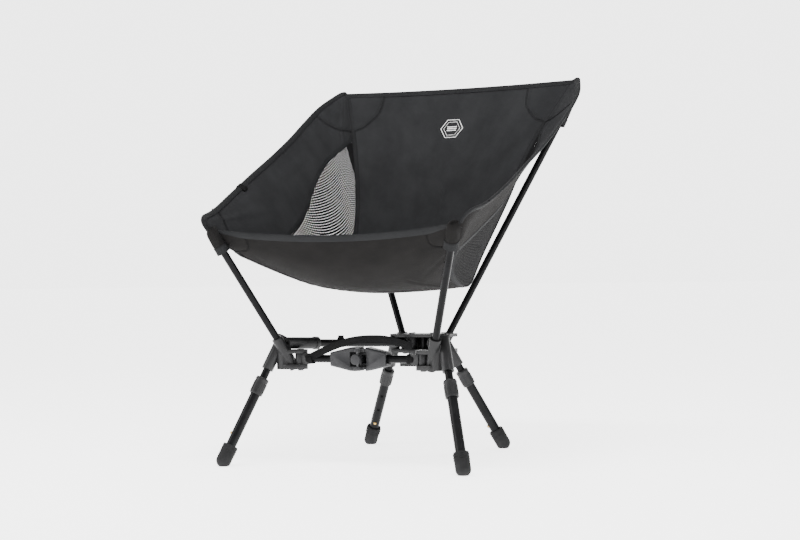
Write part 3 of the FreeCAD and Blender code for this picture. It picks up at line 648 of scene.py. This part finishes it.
# ---- loop tab folded over the left rim ----
tab_u = np.linspace(0.286, 0.306, 11)
tab_path = along_path(tab_u, -np.ones(11), 0.002)
TAB = [
    (-16.0, -2.3), (-15.4, -2.9), (-4.0, -3.3), (0.9, -3.1), (2.4, -2.0), (2.9, 0),
    (2.4, 2.0), (0.9, 3.1), (-4.0, 3.3), (-15.4, 2.9), (-16.0, 2.3),
]
with_arm(paint(swept("rim_loop_tab", tab_path, [(-x, y) for x, y in TAB][::-1]), WEBBING), "left")

# ---- generic printed mark: two hexagon outlines round three plain bars ----
MARK_U, MARK_V = 0.919, 0.019
MARK_LIFT = -(SHEET + 0.08)     # just off the sitter's side of the fabric, mm
across_mm = np.linalg.norm(sling(MARK_U, MARK_V + 0.02) - sling(MARK_U, MARK_V - 0.02)) / 0.04 * 1000
upward_mm = np.linalg.norm(sling(MARK_U + 0.01, MARK_V) - sling(MARK_U - 0.01, MARK_V)) / 0.02 * 1000
mark_points, mark_faces = [], []


def printed(x, y):
    mark_points.append(sling(MARK_U + y / upward_mm, MARK_V + x / across_mm, MARK_LIFT))


def printed_ring(outer, inner, sides):
    """An outline with straight sides: distances from its middle to its corners, in mm."""
    steps = 12 * sides
    base = len(mark_points)
    for i in range(steps):
        a = 2 * math.pi * i / steps
        near = math.pi / sides
        bend = math.cos(near) / math.cos((a + near) % (2 * near) - near)
        for r in (inner, outer):
            printed(r * bend * math.sin(a), r * bend * math.cos(a))
    for i in range(steps):
        j = (i + 1) % steps
        mark_faces.append((base + 2 * i, base + 2 * j, base + 2 * j + 1, base + 2 * i + 1))


def printed_bar(x0, x1, y0, y1):
    base = len(mark_points)
    for i in range(9):
        x = x0 + (x1 - x0) * i / 8
        printed(x, y0)
        printed(x, y1)
    for i in range(8):
        mark_faces.append((base + 2 * i, base + 2 * i + 2, base + 2 * i + 3, base + 2 * i + 1))


printed_ring(24.0, 22.6, 6)
printed_ring(17.5, 16.7, 6)
printed_bar(-10.0, 10.0, 3.2, 5.0)
printed_bar(-10.0, 10.0, -0.9, 0.9)
printed_bar(-10.0, 10.0, -5.0, -3.2)
mark = new_mesh("printed_mark", mark_points, mark_faces, smooth=False)
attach(paint(mark, PRINT), "rear_frame")


# ---- pole pockets: flattened sleeves with a hemmed mouth ----
FRONT_POLE = (place(153.2, -299.9, 220.8), place(217.2, -378.5, 380))
REAR_POLE = (place(49.1, 11.3, 220.8), place(246.1, 160.1, 660))
AROUND = 40             # points round a sleeve or a ring
SQUARENESS = 2.5        # a sleeve's section: 2 is an ellipse, more is squarer
THINNEST = 0.4          # half depth at which a sleeve is flat, mm
HEM_RINGS = 4           # rings of a sleeve that its hem covers, from the mouth
# height, half width, half depth and shift away from the pole, mm
REAR_SLEEVE = (
    (620, 12.5, 11.2, 0), (624, 12.2, 10.9, 0), (629, 12.0, 10.6, 0), (633, 12.0, 10.5, 0),
    (640, 12.4, 10.4, -0.4), (650, 13.2, 10.2, -1.0), (660, 14.2, 9.8, -1.6), (668, 14.5, 8.4, -2.6),
    (676, 13.6, 6.2, -3.8), (684, 12.0, 3.6, -5.0), (690, 9.5, 1.8, -5.6),
)
FRONT_SLEEVE = (
    (379, 12.2, 11.0, 0), (383, 12.0, 10.7, 0), (387, 12.2, 10.5, 0), (391, 12.6, 10.4, 0),
    (396, 13.2, 10.3, 0), (401, 13.8, 10.2, -0.2), (407, 14.4, 10.0, -0.5), (413, 14.2, 9.6, -0.9),
    (417, 12.9, 8.8, -1.6), (419.5, 10.2, 5.0, -2.6),
)


def mirrored(p, s):
    return Vector((p.x * s, p.y, p.z))


def at_height(axis, z_mm):
    low, high = axis
    return low + (high - low) * ((z_mm / 1000 - low.z) / (high.z - low.z))


def lofted(name, centres, wide, deep, across, out, material_used, wall=1.1, power=SQUARENESS, wrinkle=0.0):
    """A sleeve open at its first ring and closed at its last: half widths and half depths in mm."""
    rings = []
    angles = np.linspace(0, 2 * math.pi, AROUND, endpoint=False)
    for shrink, order in ((0, range(len(centres))), (wall, range(len(centres) - 1, -1, -1))):
        for i in order:
            ring = []
            for a in angles:
                c, s_ = math.cos(a), math.sin(a)
                r = (abs(c) ** power + abs(s_) ** power) ** (-1 / power)
                ripple = wrinkle * math.sin(5 * a + 1.7 * i) * math.sin(0.9 * i + 0.4)
                x = (wide[i] - shrink + ripple) * r * c
                y = max(deep[i] - shrink + ripple, THINNEST) * r * s_
                ring.append(centres[i] + across * (x / 1000) + out * (y / 1000))
            rings.append(ring)
    count = len(centres)
    # from the closed end to the mouth outside, then back up inside
    rings = rings[:count][::-1] + rings[count:][::-1]
    points = [p for ring in rings for p in ring]
    at = np.arange(len(points)).reshape(len(rings), AROUND)
    faces = [
        (at[i, j], at[i + 1, j], at[i + 1, (j + 1) % AROUND], at[i, (j + 1) % AROUND])
        for i in range(len(rings) - 1) for j in range(AROUND)
    ]
    faces += [tuple(at[0]), tuple(at[-1, ::-1])]
    run = np.linspace(0, 0.06, len(rings))
    uv = np.array([(0.08 * j / AROUND, run[i]) for i in range(len(rings)) for j in range(AROUND)])
    obj = new_mesh(name, points, faces, uv)
    return paint(sharp_edges(obj, 55), material_used)


def ring_path(centre, wide, deep, across, out):
    """A stitch row round a sleeve: points, directions, sideways and outward vectors."""
    fine = np.linspace(0, 2 * math.pi, 200)
    line = []
    for a in fine:
        c, s_ = math.cos(a), math.sin(a)
        r = (abs(c) ** SQUARENESS + abs(s_) ** SQUARENESS) ** (-1 / SQUARENESS)
        line.append(centre + across * (wide * r * c / 1000) + out * (deep * r * s_ / 1000))
    line = np.array(line)
    run = np.concatenate([[0], np.cumsum(np.linalg.norm(np.diff(line, axis=0), axis=1))])
    s = np.linspace(0, run[-1], int(run[-1] / STITCH_STEP) + 1)[:-1]
    p = np.stack([np.interp(s, run, line[:, k]) for k in range(3)], 1)
    tangent = np.roll(p, -1, 0) - np.roll(p, 1, 0)
    tangent /= np.linalg.norm(tangent, axis=1, keepdims=True)
    normal = p - np.array(centre)
    normal -= tangent * (normal * tangent).sum(1, keepdims=True)
    normal /= np.linalg.norm(normal, axis=1, keepdims=True)
    return p, tangent, np.cross(normal, tangent), normal


def pocket(name, body, node_name, axis, rows, outward):
    """A sleeve, its hem and the stitches above and below the hem's upper edge."""
    low, high = axis
    heights, wide, deep, shift = zip(*rows)
    unit = (high - low).normalized()
    out = (outward - unit * outward.dot(unit)).normalized()
    across = unit.cross(out)
    centres = [at_height(axis, z) + out * (d / 1000) for z, d in zip(heights, shift)]
    body_piece = lofted(name, centres, wide, deep, across, out, FABRIC_BACK, wrinkle=0.35)
    hem = lofted(
        f"{name}_hem", centres[:HEM_RINGS], [w + 0.9 for w in wide[:HEM_RINGS]],
        [d + 0.9 for d in deep[:HEM_RINGS]], across, out, BINDING, wall=1.6)
    on, above = HEM_RINGS - 1, HEM_RINGS
    on_hem = ring_path(centres[on] - unit * 0.0015, wide[on] + 0.4, deep[on] + 0.4, across, out)
    above_hem = ring_path(centres[above], wide[above] - 0.3, deep[above] - 0.3, across, out)
    thread_and_painted_shade = stitches([(on_hem, 0.0, 0.75), (above_hem, 0.0, 0.55)], f"{name}_stitching")
    paint(thread_and_painted_shade, THREAD_AND_SHADE)
    for obj in (body_piece, hem, thread_and_painted_shade):
        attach(obj, body)
    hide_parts(node_name)


for word, s in SIDES:
    axis = (mirrored(REAR_POLE[0], s), mirrored(REAR_POLE[1], s))
    outward = Vector(sling(0.93, s * 0.85, 1.0) - sling(0.93, s * 0.85))
    pocket(f"rear_sleeve_{word}", "rear_frame", f"rear_pocket_{word}", axis, REAR_SLEEVE, outward)
    axis = (mirrored(FRONT_POLE[0], s), mirrored(FRONT_POLE[1], s))
    outward = Vector(sling(0.05, s * 0.85, 1.0) - sling(0.05, s * 0.85))
    pocket(f"front_sleeve_{word}", f"arm_{word}", f"front_pocket_{word}", axis, FRONT_SLEEVE, outward)


# ---- pull strap: webbing with a sewn loop round each bar tube ----
HUB_X, HUB_Y = 120, -277
STRAP_Y = HUB_Y - 10.7
STRAP_STEPS = 90
ROUTE = [   # x, z
    (-104, 186), (-78, 197.5), (-52, 208), (-26, 216.5), (0, 221.5),
    (26, 223), (52, 222), (78, 216.5), (104, 209),
]
STRAP = [
    (-6.5, -0.55), (-6.1, -0.8), (6.1, -0.8), (6.5, -0.55),
    (6.5, 0.55), (6.1, 0.8), (-6.1, 0.8), (-6.5, 0.55),
]
LOOP_ALONG, LOOP_RADII = (0, 0.002, 0.006, 0.0105, 0.0125), [8.9, 9.3, 9.4, 9.3, 8.9]   # m, mm

line = catmull(np.array(ROUTE, float), np.linspace(0, 1, STRAP_STEPS))
strap_y = np.full(STRAP_STEPS, STRAP_Y + DEPTH) + 1.2 * np.sin(line[:, 0] / 23.0)
p = np.stack([line[:, 0], strap_y, line[:, 1]], 1) / 1000
tangent = np.gradient(p, axis=0)
tangent /= np.linalg.norm(tangent, axis=1, keepdims=True)
normal = np.tile([0.0, -1.0, 0.0], (STRAP_STEPS, 1))
side = np.cross(normal, tangent)
strap_path = (p, tangent, side / np.linalg.norm(side, axis=1, keepdims=True), normal)
strap = paint(swept("strap_webbing", strap_path, STRAP), WEBBING)
bar_low, bar_high = place(HUB_X, HUB_Y, 187), place(0, -291, 187)
loops = []
for word, s in SIDES:
    a, b = mirrored(bar_low, s), mirrored(bar_high, s)
    unit = (b - a).normalized()
    start = a + unit * 0.0165
    across, out = Vector((0, 0, 1)), unit.cross(Vector((0, 0, 1)))
    loop = lofted(
        f"strap_loop_{word}", [start + unit * t for t in LOOP_ALONG], LOOP_RADII, LOOP_RADII,
        across, out, WEBBING, wall=1.5, power=2.0)
    # an open band: no end cap
    caps = [f.index for f in loop.data.polygons if len(f.vertices) > 4]
    bm = bmesh.new()
    bm.from_mesh(loop.data)
    bm.faces.ensure_lookup_table()
    bmesh.ops.delete(bm, geom=[bm.faces[i] for i in caps], context="FACES_ONLY")
    bm.to_mesh(loop.data)
    bm.free()
    loops.append(loop)
strap_rows = [
    (tuple(x[part] for x in strap_path), offset, 1.0)
    for part in (slice(3, 14), slice(76, 87)) for offset in (-5.0, 5.0)
]
strap_thread = paint(stitches(strap_rows, "strap_stitching"), THREAD_AND_SHADE)
for obj in (strap, strap_thread, *loops):
    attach(obj, "rear_frame")
    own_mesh(obj)
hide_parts("pull_strap")


# ---- a short webbing tab looped round the left arm ----
TAB_RADIUS, TAB_THICK, TAB_HALF = 8.0, 1.3, 6.0     # mm
arm_a, arm_b = place(-22, -6, 203), place(-140, -277, 214.5)
unit = (arm_b - arm_a).normalized()
centre = arm_a + (arm_b - arm_a) * 0.60
upwards = (Vector((0, 0, 1)) - unit * unit.z).normalized()
side_out = unit.cross(upwards)
turns = [math.radians(t) for t in range(-150, 151, 10)]
profile = [(math.sin(t) * TAB_RADIUS, -math.cos(t) * TAB_RADIUS) for t in turns]
profile = [(-0.9, 14.0), (-1.0, 11.0)] + profile + [(1.0, 11.0), (0.9, 14.0)]
points, faces = [], []
for along_mm in (-TAB_HALF, TAB_HALF):
    for thick in (0.0, TAB_THICK):
        for k, (x, z) in enumerate(profile):
            a, b = np.array(profile[max(k - 1, 0)]), np.array(profile[min(k + 1, len(profile) - 1)])
            d = b - a
            n = np.array([d[1], -d[0]]) / max(np.hypot(*d), 1e-9)
            q = np.array([x, z]) - n * thick
            points.append(centre + unit * along_mm / 1000 + side_out * q[0] / 1000 + upwards * q[1] / 1000)
m = len(profile)
for k in range(m - 1):
    a0, b0, c0, d0 = k, m + k, 2 * m + k, 3 * m + k
    faces += [(a0, a0 + 1, c0 + 1, c0), (b0, d0, d0 + 1, b0 + 1)]
    faces += [(a0, b0, b0 + 1, a0 + 1), (c0, c0 + 1, d0 + 1, d0)]
for k in (0, m - 1):
    faces.append((k, 2 * m + k, 3 * m + k, m + k))
arm_tab = paint(sharp_edges(new_mesh("arm_tab", points, faces), 40), WEBBING)
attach(arm_tab, "arm_left")


# ---- moulded parts with softened edges, and finishes for the rest ----
def softened(name, width, material_used):
    """A copy of a CAD part with bevelled edges, width in mm, that takes the part's place."""
    source = NODES[name]
    obj = source.copy()
    obj.data = source.data.copy()
    for key in [k for k in obj.keys() if k.startswith("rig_")]:
        del obj[key]
    obj.name = f"{name}_moulded"
    obj.parent = None
    obj.matrix_world = Matrix.Identity(4)
    bpy.context.scene.collection.objects.link(obj)
    bm = bmesh.new()
    bm.from_mesh(obj.data)
    bmesh.ops.remove_doubles(bm, verts=bm.verts, dist=2e-6)
    bmesh.ops.dissolve_limit(bm, angle_limit=math.radians(0.6), verts=bm.verts, edges=bm.edges)
    bm.to_mesh(obj.data)
    bm.free()
    bevel = obj.modifiers.new("edges", "BEVEL")
    bevel.width, bevel.segments = width / 1000, 2
    bevel.limit_method, bevel.angle_limit = "ANGLE", math.radians(34)
    bevel.harden_normals = True
    apply_modifiers(obj)
    obj.data.shade_smooth()
    sharp_edges(obj, 42)
    paint(obj, material_used)
    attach(obj, body_of(source)[0])
    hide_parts(name)


for word, _ in SIDES:
    softened(f"hub_{word}", 0.9, PLASTIC)
    softened(f"hub_cap_{word}", 0.6, PLASTIC)
    softened(f"arm_eye_{word}", 0.6, PLASTIC)
    softened(f"bar_eye_{word}", 0.6, PLASTIC)
    softened(f"housing_{word}", 1.0, JOINT_PLASTIC)
    softened(f"hub_bolt_{word}", 0.4, STEEL)
    for end in ("front", "rear"):
        softened(f"leg_collar_{end}_{word}", 0.5, PLASTIC)
        softened(f"foot_{end}_{word}", 1.2, RUBBER)
        softened(f"leg_button_{end}_{word}", 0.3, BRASS)
        paint(NODES[f"leg_outer_{end}_{word}"], LEG_TUBE)
        paint(NODES[f"leg_inner_{end}_{word}"], TUBE)
        paint(NODES[f"{end}_pole_{word}"], TUBE)
        paint(NODES[f"{end}_pole_tip_{word}"], PLASTIC)
    paint(NODES[f"arm_tube_{word}"], TUBE)
    paint(NODES[f"bar_tube_{word}"], TUBE)
softened("rear_bracket", 1.0, PLASTIC)
softened("rear_cover", 1.0, PLASTIC)
softened("lock_button", 0.5, JOINT_PLASTIC)
for name in ("arm_hinge_pins", "cover_screws", "centre_pin"):
    paint(NODES[name], STEEL)


# ---- small parts on the mouldings ----
X, Y, Z = Vector((1, 0, 0)), Vector((0, 1, 0)), Vector((0, 0, 1))


def square_to(unit):
    """Two directions square to unit and to each other."""
    a = unit.cross(Z if abs(unit.z) < 0.9 else X).normalized()
    return a, unit.cross(a)


def spokes(a, b, angles):
    """Outward and sideways directions at angles in the plane of a and b."""
    return [(a * math.cos(t) + b * math.sin(t), b * math.cos(t) - a * math.sin(t)) for t in angles]


def full_turn(count):
    return [2 * math.pi * i / count for i in range(count)]


def turned(name, centre, unit, profile, material_used, body):
    """A ring or disc turned about unit: profile is (radius, height) in mm and closes on itself."""
    a, b = square_to(unit)
    points, faces = [], []
    for out, _ in spokes(a, b, full_turn(AROUND)):
        for r, h in profile:
            points.append(centre + out * (r / 1000) + unit * (h / 1000))
    m = len(profile)
    for i in range(AROUND):
        j = (i + 1) % AROUND
        for k in range(m):
            q = (k + 1) % m
            faces.append((i * m + k, j * m + k, j * m + q, i * m + q))
    obj = paint(sharp_edges(new_mesh(name, points, faces), 40), material_used)
    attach(obj, body)


BOX_CORNERS = [(x, y, z) for x in (-1, 1) for y in (-1, 1) for z in (-1, 1)]
BOX_FACES = ((0, 1, 3, 2), (4, 6, 7, 5), (0, 4, 5, 1), (2, 3, 7, 6), (0, 2, 6, 4), (1, 5, 7, 3))


def bars(name, boxes, material_used, body):
    """Small boxes: centre, three directions and three half sizes in mm."""
    points, faces = [], []
    for centre, axes, half in boxes:
        base = len(points)
        reach = [axis * (size / 1000) for axis, size in zip(axes, half)]
        points += [centre + reach[0] * x + reach[1] * y + reach[2] * z for x, y, z in BOX_CORNERS]
        faces += [tuple(base + k for k in f) for f in BOX_FACES]
    obj = paint(new_mesh(name, points, faces, smooth=False), material_used)
    edge = obj.modifiers.new("edges", "BEVEL")
    edge.width, edge.segments = 0.0002, 1
    apply_modifiers(obj)
    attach(obj, body)


FRONT_LEG = (place(232.5, -372.5, 0), place(181.4, -306.2, 152.6))
REAR_LEG = (place(144.0, 57.3, 0), place(75.8, 3.8, 150.7))
COLLAR_RING = [(9.1, 0), (11.4, 0), (11.9, 0.6), (11.9, 2.2), (11.4, 2.8), (9.1, 2.8)]
FOOT_RING = [(12.9, -0.8), (13.9, -0.6), (14.2, 0), (13.9, 0.6), (12.9, 0.8)]
WASHER = [(4.7, 0), (6.9, 0), (6.9, 0.5), (6.5, 0.8), (4.7, 0.8)]
for end, axis in (("front", FRONT_LEG), ("rear", REAR_LEG)):
    for word, s in SIDES:
        low, high = mirrored(axis[0], s), mirrored(axis[1], s)
        unit = (high - low).normalized()
        a, b = square_to(unit)
        body = f"leg_{end}_{word}"
        ribs = [
            (high - unit * 0.0185 + out * 0.0116, (out, unit.cross(out), unit), (0.55, 0.7, 9.0))
            for out, _ in spokes(a, b, full_turn(18))
        ]
        bars(f"collar_ribs_{end}_{word}", ribs, PLASTIC, body)
        turned(f"collar_ring_{end}_{word}", high - unit * 0.0315, unit, COLLAR_RING, PLASTIC, body)
        for k, h in enumerate((28.5, 33.0, 37.5)):
            where = low + unit * (h / 1000)
            turned(f"foot_ring_{end}_{word}_{k}", where, unit, FOOT_RING, RUBBER, body)

for word, s in SIDES:
    body = f"arm_{word}"
    # pivot bolt: washer, and dark raised bars that paint the shade of a hexagon socket
    turned(f"hub_bolt_washer_{word}", place(s * HUB_X, HUB_Y, 203), Z, WASHER, STEEL, body)
    socket_shade = [
        (place(s * HUB_X, HUB_Y, 204.05), (out, along, Z), (2.0, 0.45, 0.12))
        for out, along in spokes(X, Y, (0, math.pi / 3, 2 * math.pi / 3))
    ]
    bars(f"hub_bolt_socket_shade_{word}", socket_shade, THREAD_AND_SHADE, body)
    # leg cap: spokes on top and a grip round it
    low, high = mirrored(FRONT_LEG[0], s), mirrored(FRONT_LEG[1], s)
    unit = (high - low).normalized()
    top = at_height((low, high), 223.0) + unit * 0.0046
    a, b = square_to(unit)
    ribs = [
        (top + out * 0.0058, (out, along, unit), (3.2, 0.45, 0.3))
        for out, along in spokes(a, b, full_turn(12))
    ]
    bars(f"hub_cap_ribs_{word}", ribs, PLASTIC, body)
    grip = [
        (top - unit * 0.0031 + out * 0.0112, (out, along, unit), (0.4, 0.6, 1.2))
        for out, along in spokes(a, b, full_turn(24))
    ]
    bars(f"hub_cap_grip_{word}", grip, PLASTIC, body)
    # cover screw: dark raised bars that paint the shade of its cross recess
    screw = place(s * 30, 23.5, 220.4)
    cross = [
        (screw + Vector((0, 0, 0.0012)), (out, along, Z), (2.2, 0.4, 0.15))
        for out, along in spokes(X, Y, (0.4, 0.4 + math.pi / 2))
    ]
    bars(f"cover_screw_recess_shade_{word}", cross, THREAD_AND_SHADE, "rear_frame")


# ---- floor, light and camera ----
def flat_square(name, size, z):
    h = size / 2
    return new_mesh(name, [(-h, -h, z), (h, -h, z), (h, h, z), (-h, h, z)], [(0, 1, 2, 3)], smooth=False)


FLOOR_GLOW = 2.9
BACK_WALL, FRONT_WALL = 3.9, 0.25       # strength behind the object, and the share of it elsewhere
floor = flat_square("floor", 60, -0.0005)
floor_material, _, b = material("floor_white", (0.92, 0.92, 0.92), 0.9, specular=0.0)
b.inputs["Emission Color"].default_value = (1, 1, 1, 1)
b.inputs["Emission Strength"].default_value = FLOOR_GLOW
paint(floor, floor_material)

# the studio's walls: white behind the object, dim elsewhere so that gloss has depth
world = bpy.data.worlds.new("studio")
world.use_nodes = True
tree = world.node_tree
background = tree.nodes["Background"]
coord = tree.nodes.new("ShaderNodeTexCoord")
toward = node(tree, "ShaderNodeVectorMath", operation="DOT_PRODUCT")
toward.inputs[1].default_value = (0.41, -0.91, 0.0)
tree.links.new(coord.outputs["Generated"], toward.inputs[0])
walls = tree.nodes.new("ShaderNodeValToRGB")
back, front = walls.color_ramp.elements
back.position, back.color = 0.10, (1, 1, 1, 1)
front.position, front.color = 0.22, (FRONT_WALL, FRONT_WALL, FRONT_WALL, 1)
shift = node(tree, "ShaderNodeMapRange")
shift.inputs["From Min"].default_value, shift.inputs["From Max"].default_value = -1, 1
tree.links.new(toward.outputs["Value"], shift.inputs["Value"])
tree.links.new(shift.outputs["Result"], walls.inputs["Fac"])
tree.links.new(walls.outputs["Color"], background.inputs["Color"])
background.inputs["Strength"].default_value = BACK_WALL
bpy.context.scene.world = world


def area_light(name, where, target, size, power):
    light = bpy.data.lights.new(name, "AREA")
    light.shape, light.size, light.size_y, light.energy = "RECTANGLE", size[0], size[1], power
    obj = bpy.data.objects.new(name, light)
    obj.location = where
    obj.rotation_euler = (Vector(target) - Vector(where)).to_track_quat("-Z", "Y").to_euler()
    bpy.context.scene.collection.objects.link(obj)


area_light("left_softbox", (-2.3, -2.0, 1.3), (0, 0, 0.35), (0.16, 2.2), 60)
area_light("right_softbox", (2.9, -1.2, 1.3), (0, 0, 0.35), (0.14, 2.2), 40)
area_light("top_softbox", (0.2, -1.0, 2.8), (0, 0, 0.4), (1.2, 0.5), 60)

# the camera fitted to the photo
CAMERA_AT = (1.3095, -2.89615, 0.3455)
azimuth, pitch, roll = math.radians(24.30), math.radians(-0.05), math.radians(-0.87)
forward = Vector((
    -math.sin(azimuth) * math.cos(pitch), math.cos(azimuth) * math.cos(pitch), math.sin(pitch),
))
right = Vector((math.cos(azimuth), math.sin(azimuth), 0))
up = right.cross(forward)
right, up = math.cos(roll) * right + math.sin(roll) * up, -math.sin(roll) * right + math.cos(roll) * up
lens = bpy.data.cameras.new("camera")
lens.sensor_width, lens.lens = 36, 77.085
lens.clip_end = 100
camera = bpy.data.objects.new("camera", lens)
camera.matrix_world = Matrix((
    (right.x, up.x, -forward.x, CAMERA_AT[0]),
    (right.y, up.y, -forward.y, CAMERA_AT[1]),
    (right.z, up.z, -forward.z, CAMERA_AT[2]),
    (0, 0, 0, 1),
))
bpy.context.scene.collection.objects.link(camera)
bpy.context.scene.camera = camera
